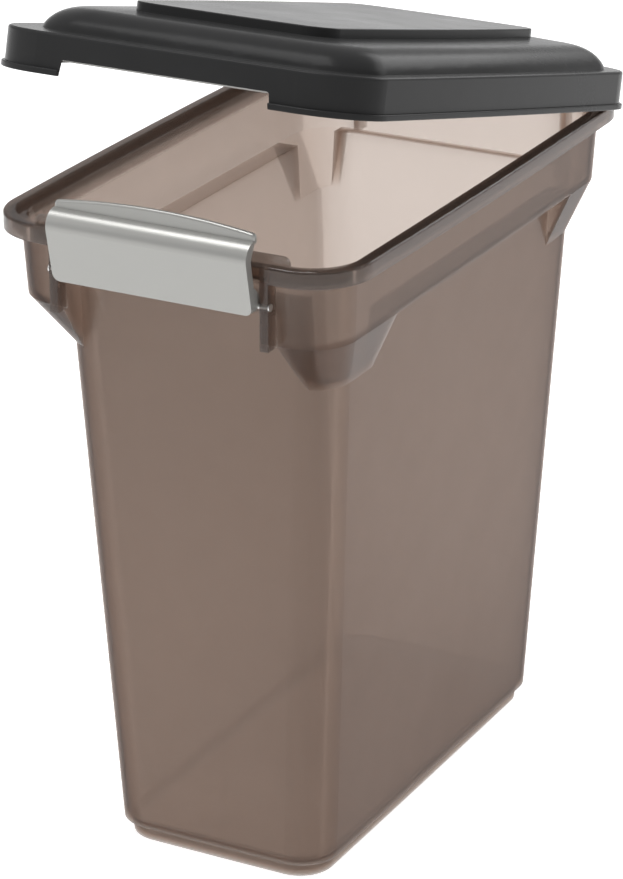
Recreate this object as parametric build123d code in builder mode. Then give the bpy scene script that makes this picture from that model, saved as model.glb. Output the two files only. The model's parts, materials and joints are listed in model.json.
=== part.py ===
"""Pet food bin: a tapered translucent container with a hinged, sealed lid and a swing-up front latch.

Millimetres. +Z is up, the front (the latch side) faces -Y, and X runs along the front.
The origin is the middle of the flat base, below the middle of the rim.
"""

import os
from math import cos, radians, sin

from build123d import *

# ---- container, from the top down ----
RIM_Z = 440.0
RIM_HALF_X = 123.6
RIM_HALF_Y = 210.2
RIM_RADIUS = 39.2
RIM_BOW_X = 2.9
RIM_BOW_Y = 1.9
BAND_HEIGHT = 10.8
BAND_WALL = 2.4
BAND_GROOVE_DEPTH = 8.2

WALL = 2.6
SEAT_INSET = 7.4
SEAT_DEPTH = 4.0
SHELF_THICKNESS = 2.6
SHELF_HALF_X = 111.2
SHELF_FRONT = -195.4
SHELF_BACK = 193.5
SHELF_RADIUS = 26.0

COLLAR_BOTTOM_Z = 386.2
COLLAR_INSET = 9.6
COLLAR_DRAFT = 2.5
COLLAR_RADIUS = 29.7
COLLAR_BOW = 1.1

BODY_TOP_Z = 347.9
BODY_TOP_HALF_X = 94.7
BODY_TOP_FRONT = -168.8
BODY_TOP_BACK = 191.4
FOOT_HEIGHT = 10.9
BODY_FOOT_HALF_X = 77.5
BODY_FOOT_FRONT = -152.4
BODY_FOOT_BACK = 177.0
BODY_RADIUS = 25.4
BODY_BOW = 0.4
FOOT_INSET = 4.2
FOOT_DRAFT = 0.5
FLOOR_THICKNESS = 3.2

GUSSET_FRONT_END = -115.0
GUSSET_BACK_START = 140.0
GUSSET_BACK_HALF_X = 85.0

ALCOVE_HALF_X = 72.0
ALCOVE_BACK_HALF_X = 79.5
ALCOVE_TOP_Z = 406.0

# ---- latch bay at the front, hinge bay at the back ----
BAY_WALL_INSET = 5.0
LATCH_BAY_HALF_X = 73.4
LATCH_RIB_X = 69.6
LATCH_RIB_THICKNESS = 5.6
HINGE_BAY_HALF_X = 76.0
HINGE_RIB_THICKNESS = 4.6
TAB_HALF_X = 87.0
TAB_HEIGHT = 5.8
TAB_CORNER = 4.5
HINGE_EAR_RADIUS = 4.0

LATCH_PIVOT_Y = -208.5
LATCH_PIVOT_Z = 414.0
LATCH_PIN_RADIUS = 1.8
LATCH_PIN_HEAD_RADIUS = 2.4
LATCH_PIN_HEAD = 0.9
HINGE_Y = 211.0
HINGE_Z = 430.0
HINGE_PIN_RADIUS = 2.0
HINGE_PIN_HEAD_RADIUS = 3.4
HINGE_PIN_HEAD = 1.5
HINGE_PIN_GAP = 0.3
HELD_CLEARANCE = 0.02
RUNNING_CLEARANCE = 0.06

# ---- lid, in its own plane: heights count from the bottom of its skirt ----
LID_CLOSED_Z = 428.3
LID_REST_OPENING = 14.2
LID_BEAD_HALF_X = 127.5
LID_BEAD_HALF_Y = 214.2
LID_BEAD = 2.0
LID_BEAD_HEIGHT = 3.8
LID_BEAD_ROUND = 0.9
LID_RADIUS = 41.4
LID_DRAFT = 0.15
LID_WALL = 1.5
LID_LEDGE_HEIGHT = 25.1
LID_LEDGE_THICKNESS = 2.6
LID_EDGE_ROUND = 1.8
LID_NOTCH_HEIGHT = 10.0
LID_NOTCH_HALF_X = 70.0
LID_NOTCH_FLARE = 1.5
LID_NOTCH_ROUND = 1.8
LID_HINGE_NOTCH_HALF_X = 101.0

DOME_HALF_X = 114.8
DOME_FRONT = -186.5
DOME_BACK = 201.5
DOME_RADIUS = 34.0
DOME_RADIUS_TOP = 25.0
DOME_SHOULDER = 22.0
DOME_TOP = 39.3
DOME_STEPS_DEG = (16, 28, 40, 52, 64, 76, 88)
PLATEAU_HALF_X = 68.0
PLATEAU_FRONT = -144.2
PLATEAU_BACK = 167.2
PLATEAU_RADIUS = 18.5
PLATEAU_BOW_X = 5.0
PLATEAU_BOW_Y = 3.2
PLATEAU_BASE = 40.6
PLATEAU_TOP = 46.3
PLATEAU_ROUND = 0.9
LID_SHELL = 2.4

SEAL_HALF_X = 115.0
SEAL_FRONT = -199.3
SEAL_BACK = 197.8
SEAL_RADIUS = 30.6
SEAL_BOW_X = 2.7
SEAL_BOW_Y = 1.8
SEAL_WIDTH = 3.6
SEAL_BOTTOM = 8.0
SEAL_TOP = 17.6
SEAL_GAP = 0.1
CHANNEL_WALL = 2.0
CHANNEL_OUTER_BOTTOM = 12.8
CHANNEL_INNER_BOTTOM = 10.4

LUG_RADIUS = 3.8
LUG_INNER_X = 70.0
LUG_OUTER_X = 75.6
LUG_FRONT = 208.0
LUG_BACK = 213.2

# ---- latch ----
LATCH_HALF_X = 68.3
LATCH_BOTTOM_Z = 409.8
LATCH_BOTTOM_Y = -217.2
LATCH_SHOULDER = (-224.3, 444.0)
LATCH_SHOULDER_MIDDLE = (-221.9, 451.9)
LATCH_VALLEY = (-213.9, 455.5)
LATCH_LIP_FRONT = (-213.0, 466.0)
LATCH_LIP_BACK = (-209.7, 466.0)
LATCH_LIP_BOTTOM = (-209.7, 454.5)
LATCH_THROAT = (-213.9, 453.4)
LATCH_INNER_MIDDLE = (-219.6, 449.9)
LATCH_INNER_SHOULDER = (-221.7, 443.8)
LATCH_WALL = 2.6
LATCH_END_Z = 459.4
LATCH_CROWN = 4.6
LATCH_CORNER = 5.0
LATCH_LIP_ROUND = 1.6
LATCH_END_ROUND = 1.0
FLANGE_THICKNESS = 2.0
FLANGE_DEPTH = 6.0
LATCH_LUG_INNER_X = 61.5
LATCH_LUG_RADIUS = 4.6
LATCH_LUG_TOP_Z = 426.0


def outline(plane, half_x, front, back, radius, bow_x, bow_y):
    """A rounded rectangle from front to back whose four sides bulge outwards a little."""
    middle = (front + back) / 2
    corners = [(half_x, front), (half_x, back), (-half_x, back), (-half_x, front)]
    bulges = [(half_x + bow_x, middle), (0, back + bow_y), (-half_x - bow_x, middle), (0, front - bow_y)]
    with BuildSketch(plane) as sketch:
        with BuildLine():
            for start, bulge, end in zip(corners, bulges, corners[1:] + corners[:1]):
                ThreePointArc(start, bulge, end)
        make_face()
        fillet(sketch.vertices(), radius)
    return sketch.sketch


def rim_outline(z, inset):
    """The rim's outline, inset evenly."""
    half_y = RIM_HALF_Y - inset
    plane = Plane.XY.offset(z)
    return outline(plane, RIM_HALF_X - inset, -half_y, half_y, RIM_RADIUS - inset, RIM_BOW_X, RIM_BOW_Y)


def collar_outline(z, inset):
    """The collar's outline at a height, inset evenly."""
    inset = inset + COLLAR_INSET + COLLAR_DRAFT * (RIM_Z - z) / (RIM_Z - COLLAR_BOTTOM_Z)
    half_y = RIM_HALF_Y - inset
    plane = Plane.XY.offset(z)
    return outline(plane, RIM_HALF_X - inset, -half_y, half_y, COLLAR_RADIUS, COLLAR_BOW, COLLAR_BOW)


def along_body(z, low, high):
    """A body dimension at a height, on the straight taper from the foot to the collar."""
    return low + (high - low) * (z - FOOT_HEIGHT) / (BODY_TOP_Z - FOOT_HEIGHT)


def body_outline(z, inset):
    """The tapered body's outline at a height, inset evenly."""
    half_x = along_body(z, BODY_FOOT_HALF_X, BODY_TOP_HALF_X) - inset
    front = along_body(z, BODY_FOOT_FRONT, BODY_TOP_FRONT) + inset
    back = along_body(z, BODY_FOOT_BACK, BODY_TOP_BACK) - inset
    return outline(Plane.XY.offset(z), half_x, front, back, BODY_RADIUS - inset / 2, BODY_BOW, BODY_BOW)


def alcove_outline(z, wall):
    """The alcove's plan: it widens towards the body, and a wall grows it sideways."""
    front = -RIM_HALF_Y - 2 * RIM_BOW_Y
    back = along_body(z, BODY_FOOT_FRONT, BODY_TOP_FRONT) + 2 * WALL
    points = [
        (-ALCOVE_HALF_X - wall, front),
        (ALCOVE_HALF_X + wall, front),
        (ALCOVE_BACK_HALF_X + wall, back),
        (-ALCOVE_BACK_HALF_X - wall, back),
    ]
    with BuildSketch(Plane.XY.offset(z)) as sketch:
        Polygon(*points, align=None)
    return sketch.sketch


def gusset_plan(z, wall):
    """The four corner areas that hold the gussets."""
    reach = RIM_HALF_Y + RIM_BOW_Y
    front_length = reach + GUSSET_FRONT_END - wall
    back_length = reach - GUSSET_BACK_START - wall
    width_front = RIM_HALF_X - ALCOVE_HALF_X
    width_back = RIM_HALF_X - GUSSET_BACK_HALF_X - wall
    with BuildSketch(Plane.XY.offset(z)) as sketch:
        for side in (-1, 1):
            with Locations((side * (RIM_HALF_X - width_front / 2), -reach + front_length / 2)):
                Rectangle(width_front, front_length)
            with Locations((side * (RIM_HALF_X - width_back / 2), reach - back_length / 2)):
                Rectangle(width_back, back_length)
    return sketch.sketch


def gusset_block(inset, bottom_z, top_z):
    """Sloping transitions from the body out to the collar, kept at the four corners only."""
    with BuildPart() as block:
        loft([body_outline(bottom_z, inset), collar_outline(top_z, inset)])
        extrude(gusset_plan(bottom_z, inset), amount=top_z - bottom_z, mode=Mode.INTERSECT)
    return block.part


def rim_segment(bottom_z, top_z, outer_inset, inner_inset, half_x, direction):
    """A length of the rim's wall at the front (-1) or the back (1)."""
    depth = RIM_RADIUS
    with BuildPart() as segment:
        extrude(rim_outline(bottom_z, outer_inset), amount=top_z - bottom_z)
        extrude(rim_outline(bottom_z, inner_inset), amount=top_z - bottom_z, mode=Mode.SUBTRACT)
        with BuildSketch(Plane.XY.offset(bottom_z)):
            with Locations((0, direction * (RIM_HALF_Y - depth / 2 + WALL))):
                Rectangle(2 * half_x, depth + 2 * WALL)
        extrude(amount=top_z - bottom_z, mode=Mode.INTERSECT)
    return segment.part


def rib_pair(inner_x, thickness, y_low, y_high):
    """Two upright plates, one on each side, across the bay's ends."""
    with BuildPart() as ribs:
        with BuildSketch(Plane.XY.offset(COLLAR_BOTTOM_Z)):
            for side in (-1, 1):
                with Locations((side * (inner_x + thickness / 2), (y_low + y_high) / 2)):
                    Rectangle(thickness, y_high - y_low)
        extrude(amount=RIM_Z - WALL - COLLAR_BOTTOM_Z)
    return ribs.part


def cross_bar(radius, x_start, x_end, y, z):
    """A round bar along X."""
    with BuildPart() as bar:
        with BuildSketch(Plane.YZ.offset(x_start)):
            with Locations((y, z)):
                Circle(radius)
        extrude(amount=x_end - x_start)
    return bar.part


def make_rim():
    """The outward rim: an inverted channel with a rounded outer edge and the seal's seat inside it."""
    seat_z = RIM_Z - SEAT_DEPTH
    band_z = RIM_Z - BAND_HEIGHT
    with BuildPart() as rim:
        extrude(rim_outline(band_z, 0), amount=BAND_HEIGHT)
        top = rim.faces().sort_by(Axis.Z)[-1]
        fillet(top.outer_wire().edges(), BAND_WALL * 0.8)
        extrude(rim_outline(seat_z, SEAT_INSET), amount=SEAT_DEPTH, mode=Mode.SUBTRACT)
        extrude(rim_outline(band_z, BAND_WALL), amount=BAND_GROOVE_DEPTH, mode=Mode.SUBTRACT)
        extrude(rim_outline(band_z, BAY_WALL_INSET), amount=BAND_GROOVE_DEPTH)
        extrude(rim_outline(seat_z, SEAT_INSET), amount=SEAT_DEPTH, mode=Mode.SUBTRACT)
    return rim.part


def make_tab():
    """The raised tab at the front, behind the latch, with rounded top corners."""
    tab_z = RIM_Z - SEAT_DEPTH
    top_z = RIM_Z + TAB_HEIGHT
    segment = rim_segment(tab_z, top_z, BAY_WALL_INSET, SEAT_INSET, TAB_HALF_X, -1)
    with BuildPart() as tab:
        add(segment)
        with BuildSketch(Plane.XZ.offset(RIM_HALF_Y)):
            with Locations((0, (tab_z + top_z) / 2)):
                RectangleRounded(2 * TAB_HALF_X, top_z - tab_z, TAB_CORNER)
            with Locations((0, tab_z)):
                Rectangle(2 * TAB_HALF_X, 2 * TAB_CORNER)
        extrude(amount=-RIM_RADIUS, mode=Mode.INTERSECT)
    return tab.part


def make_body_outside():
    """The tapered body on its foot step, solid."""
    with BuildPart() as body:
        loft([body_outline(0, FOOT_INSET + FOOT_DRAFT), body_outline(FOOT_HEIGHT, FOOT_INSET)])
        loft([body_outline(FOOT_HEIGHT, 0), body_outline(ALCOVE_TOP_Z + WALL, 0)])
    return body.part


def make_collar_outside():
    """The collar, solid."""
    with BuildPart() as collar:
        loft([collar_outline(COLLAR_BOTTOM_Z, 0), collar_outline(RIM_Z - WALL, 0)])
    return collar.part


def make_alcove(body):
    """The space of the front alcove, up to the body's front face."""
    with BuildPart() as alcove:
        extrude(alcove_outline(BODY_TOP_Z - WALL, 0), amount=ALCOVE_TOP_Z - BODY_TOP_Z + WALL)
        add(body, mode=Mode.SUBTRACT)
    return alcove.part


def make_shell():
    """The outside of the container up to the collar, without its cavity."""
    body = make_body_outside()
    collar = make_collar_outside()
    gussets = gusset_block(0, BODY_TOP_Z, COLLAR_BOTTOM_Z)
    alcove = make_alcove(body)
    with BuildPart() as shell:
        add(body)
        add(gussets)
        add(collar)
        add(alcove, mode=Mode.SUBTRACT)
    return shell.part


def make_collar_cavity():
    """The hollow of the collar and the gussets, which leaves the alcove's own walls standing."""
    gussets = gusset_block(WALL, BODY_TOP_Z + WALL, COLLAR_BOTTOM_Z + WALL)
    shelf_z = RIM_Z - SEAT_DEPTH - SHELF_THICKNESS
    alcove_height = ALCOVE_TOP_Z - BODY_TOP_Z + 2 * WALL
    with BuildPart() as cavity:
        loft([collar_outline(COLLAR_BOTTOM_Z + WALL, WALL), collar_outline(shelf_z, WALL)])
        add(gussets)
        extrude(alcove_outline(BODY_TOP_Z - WALL, WALL), amount=alcove_height, mode=Mode.SUBTRACT)
    return cavity.part


def make_body_cavity():
    """The hollow of the tapered body, from the floor up into the collar."""
    with BuildPart() as cavity:
        loft([body_outline(FOOT_HEIGHT + WALL, WALL), body_outline(ALCOVE_TOP_Z + 2 * WALL, WALL)])
        foot_bottom = body_outline(FLOOR_THICKNESS, FOOT_INSET + WALL)
        foot_top = body_outline(FOOT_HEIGHT + WALL, FOOT_INSET + WALL)
        loft([foot_bottom, foot_top])
    return cavity.part


def make_bin_body():
    """The container: one moulding."""
    shell = make_shell()
    rim = make_rim()
    tab = make_tab()
    collar_cavity = make_collar_cavity()
    body_cavity = make_body_cavity()
    seat_z = RIM_Z - SEAT_DEPTH
    band_z = RIM_Z - BAND_HEIGHT
    shelf_z = seat_z - SHELF_THICKNESS
    rib_end = RIM_HALF_Y + RIM_BOW_Y / 4
    collar_y = RIM_HALF_Y - COLLAR_INSET - WALL / 2
    latch_bay = rim_segment(band_z, RIM_Z, -WALL, BAY_WALL_INSET, LATCH_BAY_HALF_X, -1)
    hinge_bay = rim_segment(band_z, RIM_Z, -WALL, BAY_WALL_INSET, HINGE_BAY_HALF_X, 1)
    ribs_front = rib_pair(LATCH_RIB_X, LATCH_RIB_THICKNESS, -rib_end, -collar_y)
    ribs_back = rib_pair(HINGE_BAY_HALF_X, HINGE_RIB_THICKNESS, collar_y, rib_end)
    rib_outer = HINGE_BAY_HALF_X + HINGE_RIB_THICKNESS
    ears = [
        cross_bar(HINGE_EAR_RADIUS, HINGE_BAY_HALF_X, rib_outer, HINGE_Y, HINGE_Z),
        cross_bar(HINGE_EAR_RADIUS, -rib_outer, -HINGE_BAY_HALF_X, HINGE_Y, HINGE_Z),
    ]
    latch_hole_radius = LATCH_PIN_RADIUS + HELD_CLEARANCE
    latch_hole = cross_bar(latch_hole_radius, -rib_outer, rib_outer, LATCH_PIVOT_Y, LATCH_PIVOT_Z)
    hinge_hole = cross_bar(HINGE_PIN_RADIUS + HELD_CLEARANCE, -rib_outer, rib_outer, HINGE_Y, HINGE_Z)
    with BuildPart() as bin_body:
        add(shell)
        add(rim)
        add(collar_cavity, mode=Mode.SUBTRACT)
        add(body_cavity, mode=Mode.SUBTRACT)
        shelf_opening = outline(
            Plane.XY.offset(shelf_z), SHELF_HALF_X, SHELF_FRONT, SHELF_BACK, SHELF_RADIUS, COLLAR_BOW, COLLAR_BOW
        )
        extrude(shelf_opening, amount=SHELF_THICKNESS, mode=Mode.SUBTRACT)
        add(latch_bay, mode=Mode.SUBTRACT)
        add(hinge_bay, mode=Mode.SUBTRACT)
        add(ribs_front)
        add(ribs_back)
        add(ears)
        extrude(rim_outline(seat_z, SEAT_INSET), amount=SEAT_DEPTH + WALL, mode=Mode.SUBTRACT)
        add(tab)
        add(latch_hole, mode=Mode.SUBTRACT)
        add(hinge_hole, mode=Mode.SUBTRACT)
    return bin_body.part


def lid_plane(height):
    """The lid's own plane, tipped back about the hinge to its resting opening."""
    turn = radians(LID_REST_OPENING)
    drop = LID_CLOSED_Z - HINGE_Z
    origin_y = HINGE_Y - HINGE_Y * cos(turn) + drop * sin(turn)
    origin_z = HINGE_Z + HINGE_Y * sin(turn) + drop * cos(turn)
    return Plane((0, origin_y, origin_z), x_dir=(1, 0, 0), z_dir=(0, sin(turn), cos(turn))).offset(height)


def lid_front_plane():
    """The lid's upright plane seen from the front."""
    return Plane(lid_plane(0).origin, x_dir=(1, 0, 0), z_dir=-lid_plane(0).y_dir)


def lid_side_plane(x):
    """A plane across the lid whose sketch axes run back and up along the lid."""
    flat = lid_plane(0)
    return Plane(flat.origin, x_dir=flat.y_dir, z_dir=(1, 0, 0)).offset(x)


def lid_outline(height, inset):
    """The skirt's outline at a height, inset evenly."""
    inset = inset + LID_BEAD + LID_DRAFT * height / LID_LEDGE_HEIGHT
    half_x = LID_BEAD_HALF_X - inset
    half_y = LID_BEAD_HALF_Y - inset
    return outline(lid_plane(height), half_x, -half_y, half_y, LID_RADIUS - inset, RIM_BOW_X, RIM_BOW_Y)


def dome_outline(height, inset, radius):
    """The dome's outline, inset evenly from its foot on the ledge."""
    front = DOME_FRONT + inset
    back = DOME_BACK - inset
    return outline(lid_plane(height), DOME_HALF_X - inset, front, back, radius, RIM_BOW_X, RIM_BOW_Y)


def plateau_outline(height, inset):
    """The raised panel's outline."""
    front = PLATEAU_FRONT + inset
    back = PLATEAU_BACK - inset
    half_x = PLATEAU_HALF_X - inset
    return outline(lid_plane(height), half_x, front, back, PLATEAU_RADIUS, PLATEAU_BOW_X, PLATEAU_BOW_Y)


def dome_block(inset, drop, root):
    """The dome with its large rounded shoulder, inset and dropped for the inner surface, on a short root."""
    steps = [radians(step) for step in DOME_STEPS_DEG]
    first, last = steps[0], steps[-1]
    shoulder = []
    for step in steps:
        inward = (cos(first) - cos(step)) / (cos(first) - cos(last))
        upward = (sin(step) - sin(first)) / (sin(last) - sin(first))
        height = LID_LEDGE_HEIGHT + (DOME_TOP - LID_LEDGE_HEIGHT) * upward - drop
        radius = DOME_RADIUS + (DOME_RADIUS_TOP - DOME_RADIUS) * inward
        shoulder.append(dome_outline(height, inset + DOME_SHOULDER * inward, radius))
    with BuildPart() as dome:
        loft(shoulder)
        loft([shoulder[-1], plateau_outline(PLATEAU_BASE - drop, inset - 1)])
        extrude(shoulder[0], amount=-root)
    return dome.part


def seal_outline(height, grow):
    """The seal's outer line, grown or shrunk evenly."""
    front = SEAL_FRONT - grow
    back = SEAL_BACK + grow
    half_x = SEAL_HALF_X + grow
    return outline(lid_plane(height), half_x, front, back, SEAL_RADIUS + grow, SEAL_BOW_X, SEAL_BOW_Y)


def seal_ring(bottom, top, outer_grow, inner_grow):
    """A ring beside the seal's line."""
    with BuildPart() as ring:
        extrude(seal_outline(bottom, outer_grow), amount=top - bottom)
        extrude(seal_outline(bottom, inner_grow), amount=top - bottom, mode=Mode.SUBTRACT)
    return ring.part


def make_seal_channel():
    """Two ribs and a web under the lid that hold the seal."""
    top = LID_LEDGE_HEIGHT - LID_LEDGE_THICKNESS + SEAL_GAP
    inner = -SEAL_WIDTH - SEAL_GAP
    inner_rib = seal_ring(CHANNEL_INNER_BOTTOM, top, inner, inner - CHANNEL_WALL)
    outer_rib = seal_ring(CHANNEL_OUTER_BOTTOM, top, SEAL_GAP + CHANNEL_WALL, SEAL_GAP)
    web = seal_ring(SEAL_TOP, top, SEAL_GAP, inner)
    with BuildPart() as channel:
        add(inner_rib)
        add(outer_rib)
        add(web)
    return channel.part


def make_lid_outside():
    """The outer form of the lid: bead, skirt, ledge, dome and plateau."""
    bead_bottom = outline(
        lid_plane(0), LID_BEAD_HALF_X, -LID_BEAD_HALF_Y, LID_BEAD_HALF_Y, LID_RADIUS, RIM_BOW_X, RIM_BOW_Y
    )
    dome = dome_block(0, 0, LID_LEDGE_THICKNESS / 2)
    with BuildPart() as skirt:
        loft([lid_outline(0, 0), lid_outline(LID_LEDGE_HEIGHT, 0)])
        ledge = skirt.faces().filter_by(lambda f: f.normal_at().dot(lid_plane(0).z_dir) > 0.99)
        fillet(ledge.edges(), LID_EDGE_ROUND)
    with BuildPart() as bead:
        extrude(bead_bottom, amount=LID_BEAD_HEIGHT)
        flat = bead.faces().filter_by(lambda f: abs(f.normal_at().dot(lid_plane(0).z_dir)) > 0.99)
        fillet(flat.edges(), LID_BEAD_ROUND)
    with BuildPart() as outside:
        add(skirt.part)
        add(bead.part)
        add(dome)
        extrude(plateau_outline(PLATEAU_BASE - LID_SHELL, 0), amount=PLATEAU_TOP - PLATEAU_BASE + LID_SHELL)
        top = outside.faces().filter_by(
            lambda f: abs(lid_plane(PLATEAU_TOP).to_local_coords(f.center()).Z) < 0.05
        )
        fillet(top.edges(), PLATEAU_ROUND)
    return outside.part


def make_lid_cavity():
    """The underside of the lid."""
    ceiling = LID_LEDGE_HEIGHT - LID_LEDGE_THICKNESS
    dome = dome_block(LID_SHELL, LID_SHELL, LID_SHELL)
    with BuildPart() as cavity:
        loft([lid_outline(-LID_WALL, LID_WALL), lid_outline(ceiling, LID_WALL)])
        add(dome)
        plateau = plateau_outline(PLATEAU_BASE - 2 * LID_SHELL, LID_SHELL)
        extrude(plateau, amount=PLATEAU_TOP - PLATEAU_BASE + LID_SHELL)
    return cavity.part


def make_lid_notches():
    """The gaps in the skirt: flared at the front for the latch, straight at the back for the hinge."""
    bottom = -LID_NOTCH_HEIGHT
    with BuildPart() as notches:
        with BuildSketch(lid_front_plane()) as front_notch:
            Polygon(
                (-LID_NOTCH_HALF_X - 2 * LID_NOTCH_FLARE, bottom),
                (LID_NOTCH_HALF_X + 2 * LID_NOTCH_FLARE, bottom),
                (LID_NOTCH_HALF_X, LID_NOTCH_HEIGHT),
                (-LID_NOTCH_HALF_X, LID_NOTCH_HEIGHT),
                align=None,
            )
            fillet(front_notch.vertices().group_by(Axis.Y)[-1], LID_NOTCH_ROUND)
        extrude(amount=LID_BEAD_HALF_Y + 2 * RIM_BOW_Y)
        with BuildSketch(lid_front_plane()):
            Rectangle(2 * LID_HINGE_NOTCH_HALF_X, 2 * LID_NOTCH_HEIGHT)
        extrude(amount=-LID_BEAD_HALF_Y - 2 * RIM_BOW_Y)
        with BuildSketch(lid_plane(bottom)):
            Rectangle(2 * LID_BEAD_HALF_X, 2 * (RIM_HALF_Y - COLLAR_INSET / 3))
        extrude(amount=3 * LID_NOTCH_HEIGHT, mode=Mode.SUBTRACT)
    return notches.part


def hinge_lug(x_start, x_end):
    """One lug: a plate down from the ledge with a round end about the hinge pin."""
    pivot = HINGE_Z - LID_CLOSED_Z
    top = LID_LEDGE_HEIGHT - LID_LEDGE_THICKNESS / 2
    with BuildPart() as lug:
        with BuildSketch(lid_side_plane(x_start)):
            with Locations((HINGE_Y, pivot)):
                Circle(LUG_RADIUS)
            with Locations(((LUG_FRONT + LUG_BACK) / 2, (pivot + top) / 2)):
                Rectangle(LUG_BACK - LUG_FRONT, top - pivot)
            with Locations((HINGE_Y, pivot)):
                Circle(HINGE_PIN_RADIUS + RUNNING_CLEARANCE, mode=Mode.SUBTRACT)
        extrude(amount=x_end - x_start)
    return lug.part


def make_lid_shell():
    """The lid: one moulding."""
    outside = make_lid_outside()
    cavity = make_lid_cavity()
    channel = make_seal_channel()
    notches = make_lid_notches()
    lugs = [hinge_lug(LUG_INNER_X, LUG_OUTER_X), hinge_lug(-LUG_OUTER_X, -LUG_INNER_X)]
    with BuildPart() as lid_shell:
        add(outside)
        add(cavity, mode=Mode.SUBTRACT)
        add(channel)
        add(notches, mode=Mode.SUBTRACT)
        add(lugs)
    return lid_shell.part


def make_lid_seal():
    """The rubber ring in the lid's channel."""
    return seal_ring(SEAL_BOTTOM, SEAL_TOP, 0, -SEAL_WIDTH)


def latch_profile(x_start, x_end):
    """The latch's bent plate: a leaning front, a rounded shoulder, and a lip that hooks inwards."""
    with BuildPart() as plate:
        with BuildSketch(Plane.YZ.offset(x_start)):
            with BuildLine():
                Line((LATCH_BOTTOM_Y, LATCH_BOTTOM_Z), LATCH_SHOULDER)
                ThreePointArc(LATCH_SHOULDER, LATCH_SHOULDER_MIDDLE, LATCH_VALLEY)
                Polyline(LATCH_VALLEY, LATCH_LIP_FRONT, LATCH_LIP_BACK, LATCH_LIP_BOTTOM, LATCH_THROAT)
                ThreePointArc(LATCH_THROAT, LATCH_INNER_MIDDLE, LATCH_INNER_SHOULDER)
                Polyline(
                    LATCH_INNER_SHOULDER,
                    (LATCH_BOTTOM_Y + LATCH_WALL, LATCH_BOTTOM_Z),
                    (LATCH_BOTTOM_Y, LATCH_BOTTOM_Z),
                )
            make_face()
        extrude(amount=x_end - x_start)
    return plate.part


def latch_flange(x_start, x_end):
    """A latch end: the same front, but deeper."""
    shoulder_y, shoulder_z = LATCH_SHOULDER
    with BuildPart() as flange:
        with BuildSketch(Plane.YZ.offset(x_start)):
            with BuildLine():
                Line((LATCH_BOTTOM_Y, LATCH_BOTTOM_Z), LATCH_SHOULDER)
                ThreePointArc(LATCH_SHOULDER, LATCH_SHOULDER_MIDDLE, LATCH_VALLEY)
                Polyline(
                    LATCH_VALLEY,
                    LATCH_THROAT,
                    (shoulder_y + FLANGE_DEPTH, shoulder_z),
                    (LATCH_BOTTOM_Y + FLANGE_DEPTH, LATCH_BOTTOM_Z),
                    (LATCH_BOTTOM_Y, LATCH_BOTTOM_Z),
                )
            make_face()
        extrude(amount=x_end - x_start)
    return flange.part


def latch_lug(x_start, x_end):
    """A pivot lug behind the latch's plate, near its bottom."""
    reach = LATCH_LUG_RADIUS
    with BuildPart() as lug:
        with BuildSketch(Plane.YZ.offset(x_start)):
            with Locations((LATCH_PIVOT_Y, LATCH_PIVOT_Z)):
                Circle(reach)
            Polygon(
                (LATCH_BOTTOM_Y + 1, LATCH_BOTTOM_Z),
                (LATCH_PIVOT_Y, LATCH_BOTTOM_Z),
                (LATCH_PIVOT_Y + reach, LATCH_PIVOT_Z),
                (LATCH_PIVOT_Y + reach / 2, LATCH_PIVOT_Z + reach),
                (LATCH_PIVOT_Y - reach, LATCH_LUG_TOP_Z),
                (LATCH_BOTTOM_Y - 1, LATCH_LUG_TOP_Z),
                align=None,
            )
            with Locations((LATCH_PIVOT_Y, LATCH_PIVOT_Z)):
                Circle(LATCH_PIN_RADIUS + RUNNING_CLEARANCE, mode=Mode.SUBTRACT)
        extrude(amount=x_end - x_start)
    return lug.part


def latch_front_view():
    """The latch seen from the front: rounded bottom corners and a crowned top."""
    with BuildSketch(Plane.XZ) as view:
        with BuildLine():
            ThreePointArc(
                (-LATCH_HALF_X, LATCH_END_Z), (0, LATCH_END_Z + LATCH_CROWN), (LATCH_HALF_X, LATCH_END_Z)
            )
            Polyline(
                (LATCH_HALF_X, LATCH_END_Z),
                (LATCH_HALF_X, LATCH_BOTTOM_Z),
                (-LATCH_HALF_X, LATCH_BOTTOM_Z),
                (-LATCH_HALF_X, LATCH_END_Z),
            )
        make_face()
        fillet(view.vertices().group_by(Axis.Y)[0], LATCH_CORNER)
        fillet(view.vertices().group_by(Axis.Y)[-1], LATCH_WALL)
    return view.sketch


def make_front_latch():
    """The latch: one moulding."""
    plate = latch_profile(-LATCH_HALF_X, LATCH_HALF_X)
    flange_x = LATCH_HALF_X - FLANGE_THICKNESS
    flanges = [latch_flange(flange_x, LATCH_HALF_X), latch_flange(-LATCH_HALF_X, -flange_x)]
    lugs = [latch_lug(LATCH_LUG_INNER_X, LATCH_HALF_X), latch_lug(-LATCH_HALF_X, -LATCH_LUG_INNER_X)]
    front_view = latch_front_view()
    with BuildPart() as front_latch:
        add(plate)
        add(flanges)
        add(lugs)
        extrude(front_view, amount=2 * RIM_HALF_Y, mode=Mode.INTERSECT)
        crown = front_latch.edges().filter_by(
            lambda e: e.center().Z > LATCH_END_Z + LATCH_CROWN / 2 and e.length > LATCH_HALF_X
        )
        fillet(crown, LATCH_LIP_ROUND)
    return front_latch.part


def make_latch_pin(side):
    """A headed pivot pin, pushed through the rib from outside into the latch's lug."""
    inner = LATCH_LUG_INNER_X - HINGE_PIN_GAP
    rib = LATCH_RIB_X + LATCH_RIB_THICKNESS
    ends = sorted((side * inner, side * rib))
    head_ends = sorted((side * rib, side * (rib + LATCH_PIN_HEAD)))
    shaft = cross_bar(LATCH_PIN_RADIUS, ends[0], ends[1], LATCH_PIVOT_Y, LATCH_PIVOT_Z)
    head = cross_bar(LATCH_PIN_HEAD_RADIUS, head_ends[0], head_ends[1], LATCH_PIVOT_Y, LATCH_PIVOT_Z)
    with BuildPart() as pin:
        add(shaft)
        add(head)
    return pin.part


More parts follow.
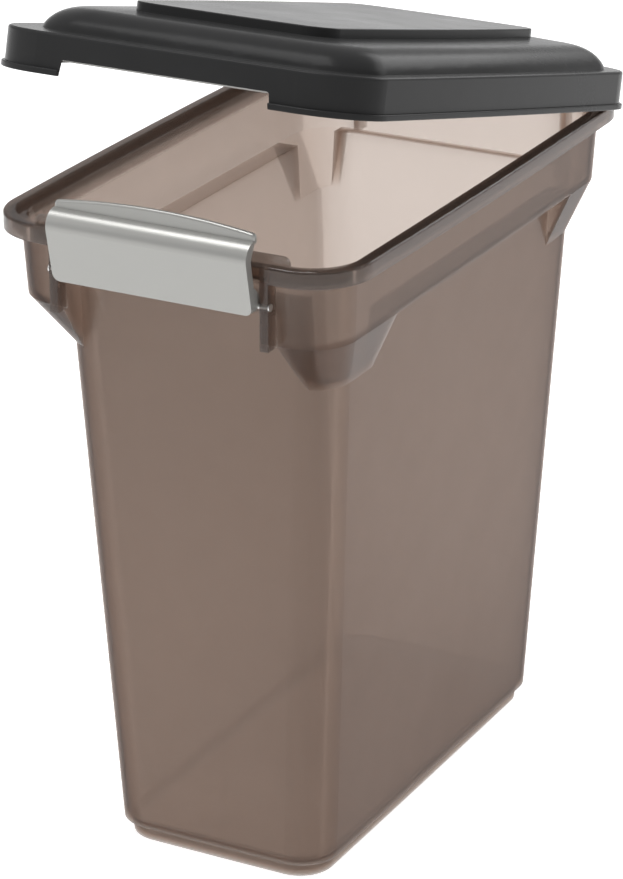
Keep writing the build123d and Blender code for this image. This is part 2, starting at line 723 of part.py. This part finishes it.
def make_hinge_pin(side):
    """A headed hinge pin, pushed through the lid's lug into the rib from the middle of the bay."""
    shoulder = LUG_INNER_X - HINGE_PIN_GAP
    tip = HINGE_BAY_HALF_X + HINGE_RIB_THICKNESS - HINGE_PIN_GAP
    ends = sorted((side * shoulder, side * tip))
    head_ends = sorted((side * (shoulder - HINGE_PIN_HEAD), side * shoulder))
    shaft = cross_bar(HINGE_PIN_RADIUS, ends[0], ends[1], HINGE_Y, HINGE_Z)
    head = cross_bar(HINGE_PIN_HEAD_RADIUS, head_ends[0], head_ends[1], HINGE_Y, HINGE_Z)
    with BuildPart() as pin:
        add(shaft)
        add(head)
    return pin.part


def save(part, name):
    """Label a finished piece and write its file."""
    part.label = name
    export_step(part, f"parts/{name}.step")


os.makedirs("parts", exist_ok=True)
save(make_bin_body(), "bin_body")
save(make_lid_shell(), "lid_shell")
save(make_lid_seal(), "lid_seal")
save(make_front_latch(), "front_latch")
for side, side_name in ((-1, "left"), (1, "right")):
    save(make_latch_pin(side), f"latch_pin_{side_name}")
    save(make_hinge_pin(side), f"hinge_pin_{side_name}")
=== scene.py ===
"""Looks for the pet food bin: materials, lights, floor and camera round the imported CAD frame.

Lengths are in metres, colours are linear and lights are in watts.
"""

import json
from math import radians

import bpy
from mathutils import Matrix, Vector

# ---- camera ----
CAMERA_AT = (1.04466, -1.97530, 1.15802)
CAMERA_AIM = (-0.00427, 0.00255, 0.23084)
CAMERA_ROLL_DEG = 0.07
CAMERA_LENS_MM = 150.0
CAMERA_SHIFT = (-0.0081, 0.0124)
CAMERA_SENSOR_MM = 36.0
CAMERA_CLIP = (0.05, 300.0)

# ---- noise ----
NOISE_USUAL = (0.3, 0.7)  # where nearly all of a noise's values lie

# ---- smoke plastic: a frosted skin over an inside that absorbs light ----
SMOKE_CLOUD_SCALE = 7.0
SMOKE_MOTTLE_SCALE = 90.0
SMOKE_MOTTLE_DEPTH = 0.000008
SMOKE_MOTTLE_STRENGTH = 0.5
SMOKE_HAZE = (0.38, 0.44)  # how much of the light the frosting catches
SMOKE_GLOW = ((0.90, 0.87, 0.85, 1), (0.94, 0.915, 0.895, 1))
SMOKE_SKIN = ((0.11, 0.09, 0.08, 1), (0.13, 0.105, 0.095, 1))
SMOKE_SKIN_SHARE = 0.30
SMOKE_CLEAR = (0.995, 0.99, 0.985, 1)
SMOKE_INSIDE = (0.40, 0.215, 0.09, 1)
SMOKE_DENSITY = 200.0
SMOKE_ROUGHNESS = (0.12, 0.18)
SMOKE_IOR = 1.45
SMOKE_SHINE = 0.38

# ---- smoke plastic where it is not a plain wall: each place ends softly, over twice its blur ----
FOOT_TOP = 0.010
FOOT_BLUR = 0.0015
FOOT_HAZE = 0.25
RIM_BOTTOM = 0.4245
RIM_BLUR = 0.0008
RIBS_BACK = -0.2012
RIBS_BLUR = 0.0005
THICK_GLOW = (0.10, 0.08, 0.07, 1)
THICK_GLOW_SHARE = 0.5
THICK_ROUGHNESS_SHARE = 0.6
THICK_SHINE = 0.75

# ---- opaque materials ----
FLOW_SCALE = 14.0
SPECK_SCALE = 520.0
SPECK_SHARE = 0.4
WEAR_USUAL = (0.4, 1.0)  # where the sum of flow and specks lies
# Each has two tones, a range of roughness, its grain's size and depth, and its metal and gloss.
FINISHES = {
    "lid_plastic": {
        "tones": ((0.024, 0.024, 0.0243, 1), (0.028, 0.028, 0.0283, 1)),
        "roughness": (0.22, 0.28),
        "grain": (0.0007, 0.000002),
        "metallic": 0.0,
        "specular": 0.05,
    },
    "seal_rubber": {
        "tones": ((0.50, 0.49, 0.47, 1), (0.56, 0.55, 0.53, 1)),
        "roughness": (0.6, 0.75),
        "grain": (0.0008, 0.00003),
        "metallic": 0.0,
        "specular": 0.5,
    },
    "latch_plastic": {
        "tones": ((0.315, 0.313, 0.299, 1), (0.325, 0.323, 0.309, 1)),
        "roughness": (0.30, 0.35),
        "grain": (0.0009, 0.0000004),
        "metallic": 0.5,
        "specular": 0.5,
    },
    "pin_steel": {
        "tones": ((0.55, 0.55, 0.54, 1), (0.62, 0.62, 0.61, 1)),
        "roughness": (0.25, 0.4),
        "grain": (0.0003, 0.00001),
        "metallic": 1.0,
        "specular": 0.5,
    },
}

# ---- studio ----
WHITE = (1, 1, 1, 1)
WORLD_LIGHT = 0.5
FLOOR_HALF = 80.0  # half of the floor's width
FLOOR_CLOUD_SCALE = 3.0
FLOOR_MOTTLE_SCALE = 40.0
FLOOR_TONES = ((0.72, 0.72, 0.72, 1), (0.74, 0.74, 0.74, 1))
FLOOR_ROUGHNESS = (0.6, 0.75)
FLOOR_GLOW = 0.8
# Each light has a place, a point it faces, a width and height, and a power.
LIGHTS = {
    "overhead": ((-0.5, -0.3, 2.5), (0, 0, 0.25), (1.3, 1.3), 40.0),
    "back": ((0.75, 2.1, 1.35), (0, 0, 0.4), (2.2, 1.0), 18.0),
    "left": ((-2.2, -1.6, 1.6), (0, 0, 0.25), (2.0, 2.0), 10.0),
}


class Nodes:
    """A small helper for writing node materials in a readable way."""

    # Sockets of the mix node, by position, because its number and colour sockets share their names.
    MIX_FACTOR, MIX_FIRST, MIX_SECOND, MIX_RESULT = 0, 6, 7, 2

    def __init__(self, name):
        self.material = bpy.data.materials.new(name)
        self.material.use_nodes = True
        self.tree = self.material.node_tree
        self.tree.nodes.clear()
        self.output = self.tree.nodes.new("ShaderNodeOutputMaterial")

    def add(self, kind, **settings):
        """A new node. Settings named after an input go to it, and the others to the node itself."""
        node = self.tree.nodes.new(kind)
        for key, value in settings.items():
            label = key.replace("_", " ")
            if label in node.inputs:
                self.join(node.inputs[label], value)
            else:
                setattr(node, key, value)
        return node

    def join(self, socket, value):
        """Links a socket to another, or sets its value."""
        if isinstance(value, bpy.types.NodeSocket):
            self.tree.links.new(value, socket)
        else:
            socket.default_value = value

    def position(self):
        """The point in the piece's own coordinates, in metres."""
        return self.add("ShaderNodeTexCoord").outputs["Object"]

    def noise(self, scale, detail=3.0, roughness=0.6):
        """Smooth random values from 0 to 1, with `scale` features a metre."""
        node = self.add(
            "ShaderNodeTexNoise",
            Vector=self.position(),
            Scale=scale,
            Detail=detail,
            Roughness=roughness,
        )
        return node.outputs["Fac"]

    def ramp(self, value, low, high, to_low, to_high):
        """Maps a value's range onto another, clamped."""
        node = self.add(
            "ShaderNodeMapRange",
            clamp=True,
            Value=value,
            From_Min=low,
            From_Max=high,
            To_Min=to_low,
            To_Max=to_high,
        )
        return node.outputs["Result"]

    def spread(self, noise, pair):
        """Maps a noise's usual values onto a pair of numbers."""
        return self.ramp(noise, *NOISE_USUAL, *pair)

    def maths(self, operation, a, b=0.0):
        """One arithmetic step."""
        node = self.add("ShaderNodeMath", operation=operation)
        self.join(node.inputs[0], a)
        self.join(node.inputs[1], b)
        return node.outputs[0]

    def mix_colour(self, factor, first, second):
        """A blend of two colours."""
        node = self.add("ShaderNodeMix", data_type="RGBA")
        self.join(node.inputs[self.MIX_FACTOR], factor)
        self.join(node.inputs[self.MIX_FIRST], first)
        self.join(node.inputs[self.MIX_SECOND], second)
        return node.outputs[self.MIX_RESULT]

    def tones(self, noise, pair):
        """A noise's values as a blend of two colours."""
        return self.mix_colour(self.spread(noise, (0.0, 1.0)), *pair)

    def bump(self, height, distance, strength):
        """A bumped normal; distance is the height of a full step, in metres."""
        node = self.add("ShaderNodeBump", Height=height, Distance=distance, Strength=strength)
        return node.outputs["Normal"]

    def mix_shaders(self, share, first, second):
        """A mix of two shaders, with this share of the second."""
        node = self.add("ShaderNodeMixShader", Fac=share)
        self.join(node.inputs[1], first.outputs[0])
        self.join(node.inputs[2], second.outputs[0])
        return node

    def finish(self, surface):
        """Joins a shader to the surface output and returns the material."""
        self.join(self.output.inputs["Surface"], surface)
        return self.material


def smoke_plastic():
    """Frosted smoke-brown plastic, see-through, paler at its foot, darker at its thick rim and ribs."""
    m = Nodes("smoke_plastic")
    cloud = m.noise(SMOKE_CLOUD_SCALE, roughness=0.5)
    mottle = m.noise(SMOKE_MOTTLE_SCALE)
    place = m.add("ShaderNodeSeparateXYZ", Vector=m.position())
    height, depth = place.outputs["Z"], place.outputs["Y"]
    foot = m.ramp(height, FOOT_TOP - FOOT_BLUR, FOOT_TOP + FOOT_BLUR, 1.0, 0.0)
    rim = m.ramp(height, RIM_BOTTOM - RIM_BLUR, RIM_BOTTOM + RIM_BLUR, 0.0, 1.0)
    ribs = m.ramp(depth, RIBS_BACK - RIBS_BLUR, RIBS_BACK + RIBS_BLUR, 1.0, 0.0)
    thick = m.maths("MAXIMUM", rim, ribs)
    see_through = m.add("ShaderNodeBsdfTransparent")
    see_through.inputs["Color"].default_value = SMOKE_CLEAR
    darker = m.maths("MULTIPLY", thick, THICK_GLOW_SHARE)
    glow_colour = m.mix_colour(darker, m.tones(cloud, SMOKE_GLOW), THICK_GLOW)
    glow = m.add("ShaderNodeBsdfTranslucent", Color=glow_colour)
    skin = m.add("ShaderNodeBsdfDiffuse", Color=m.tones(cloud, SMOKE_SKIN))
    frost = m.mix_shaders(SMOKE_SKIN_SHARE, glow, skin)
    haze = m.maths("ADD", m.spread(cloud, SMOKE_HAZE), m.maths("MULTIPLY", foot, FOOT_HAZE))
    bulk = m.mix_shaders(haze, see_through, frost)
    normal = m.bump(mottle, SMOKE_MOTTLE_DEPTH, SMOKE_MOTTLE_STRENGTH)
    polish = m.ramp(thick, 0.0, 1.0, 1.0, THICK_ROUGHNESS_SHARE)
    rough = m.maths("MULTIPLY", m.spread(mottle, SMOKE_ROUGHNESS), polish)
    gloss = m.add("ShaderNodeBsdfGlossy", Color=WHITE, Roughness=rough, Normal=normal)
    fresnel = m.add("ShaderNodeFresnel", IOR=SMOKE_IOR, Normal=normal)
    shine = m.ramp(thick, 0.0, 1.0, SMOKE_SHINE, THICK_SHINE)
    whole = m.mix_shaders(m.maths("MULTIPLY", fresnel.outputs[0], shine), bulk, gloss)
    inside = m.add("ShaderNodeVolumeAbsorption")
    inside.inputs["Color"].default_value = SMOKE_INSIDE
    inside.inputs["Density"].default_value = SMOKE_DENSITY
    m.join(m.output.inputs["Volume"], inside.outputs[0])
    return m.finish(whole.outputs[0])


def opaque(name, tones, roughness, grain, metallic, specular):
    """A moulded plastic, rubber or metal with a fine grain, faint flow variation and soft wear."""
    grain_size, grain_depth = grain
    m = Nodes(name)
    flow = m.noise(FLOW_SCALE, detail=4.0)
    specks = m.noise(SPECK_SCALE, detail=2.0, roughness=0.5)
    wear = m.maths("ADD", flow, m.maths("MULTIPLY", specks, SPECK_SHARE))
    normal = m.bump(m.noise(1.0 / grain_size), grain_depth, strength=1.0)
    shader = m.add(
        "ShaderNodeBsdfPrincipled",
        Base_Color=m.tones(flow, tones),
        Roughness=m.ramp(wear, *WEAR_USUAL, *roughness),
        Normal=normal,
    )
    shader.inputs["Metallic"].default_value = metallic
    shader.inputs["Specular IOR Level"].default_value = specular
    return m.finish(shader.outputs[0])


def dress(frame):
    """Gives every CAD node its material."""
    materials = {"smoke_plastic": smoke_plastic()}
    for name, finish in FINISHES.items():
        materials[name] = opaque(name, **finish)
    slots = {part["node"]: part["material_slot"] for part in frame["record"]["subparts"]}
    for name, node in frame["nodes"].items():
        node.data.materials.clear()
        node.data.materials.append(materials[slots[name]])


def area_light(name, at, aim, size, power):
    """A soft rectangular light that faces a point."""
    light = bpy.data.lights.new(name, "AREA")
    light.shape = "RECTANGLE"
    light.size, light.size_y = size
    light.energy = power
    holder = bpy.data.objects.new(name, light)
    holder.location = at
    holder.rotation_euler = (Vector(aim) - Vector(at)).to_track_quat("-Z", "Y").to_euler()
    bpy.context.collection.objects.link(holder)


def make_floor():
    """A plain white floor that glows a little, like a light table."""
    corners = [(x * FLOOR_HALF, y * FLOOR_HALF, 0) for x, y in ((-1, -1), (1, -1), (1, 1), (-1, 1))]
    mesh = bpy.data.meshes.new("floor")
    mesh.from_pydata(corners, [], [(0, 1, 2, 3)])
    floor = bpy.data.objects.new("floor", mesh)
    bpy.context.collection.objects.link(floor)
    m = Nodes("floor_white")
    shader = m.add(
        "ShaderNodeBsdfPrincipled",
        Base_Color=m.mix_colour(m.noise(FLOOR_CLOUD_SCALE, roughness=0.5), *FLOOR_TONES),
        Roughness=m.spread(m.noise(FLOOR_MOTTLE_SCALE, roughness=0.5), FLOOR_ROUGHNESS),
    )
    shader.inputs["Emission Color"].default_value = WHITE
    shader.inputs["Emission Strength"].default_value = FLOOR_GLOW
    mesh.materials.append(m.finish(shader.outputs[0]))


def make_studio():
    """Soft, even light. The Standard view keeps the white ground white."""
    world = bpy.data.worlds.new("studio")
    world.use_nodes = True
    background = world.node_tree.nodes["Background"]
    background.inputs["Color"].default_value = WHITE
    background.inputs["Strength"].default_value = WORLD_LIGHT
    bpy.context.scene.world = world
    bpy.context.scene.view_settings.view_transform = "Standard"
    for name, (at, aim, size, power) in LIGHTS.items():
        area_light(name, at, aim, size, power)


def make_camera():
    """The camera, at the photograph's viewing angle."""
    data = bpy.data.cameras.new("camera")
    data.lens = CAMERA_LENS_MM
    data.sensor_width = CAMERA_SENSOR_MM
    data.shift_x, data.shift_y = CAMERA_SHIFT
    data.clip_start, data.clip_end = CAMERA_CLIP
    holder = bpy.data.objects.new("camera", data)
    holder.location = CAMERA_AT
    look = (Vector(CAMERA_AIM) - Vector(CAMERA_AT)).to_track_quat("-Z", "Y")
    roll = Matrix.Rotation(-radians(CAMERA_ROLL_DEG), 3, "Z").to_quaternion()
    holder.rotation_mode = "QUATERNION"
    holder.rotation_quaternion = look @ roll
    bpy.context.collection.objects.link(holder)
    bpy.context.scene.camera = holder


with open("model.json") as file:
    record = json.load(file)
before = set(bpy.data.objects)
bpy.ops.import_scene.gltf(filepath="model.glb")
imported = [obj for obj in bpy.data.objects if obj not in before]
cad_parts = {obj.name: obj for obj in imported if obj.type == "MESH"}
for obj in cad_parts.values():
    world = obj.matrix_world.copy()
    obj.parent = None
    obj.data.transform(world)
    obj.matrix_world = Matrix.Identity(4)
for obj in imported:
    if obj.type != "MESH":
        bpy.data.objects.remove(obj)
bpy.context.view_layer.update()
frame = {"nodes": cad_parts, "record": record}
dress(frame)
make_floor()
make_studio()
make_camera()
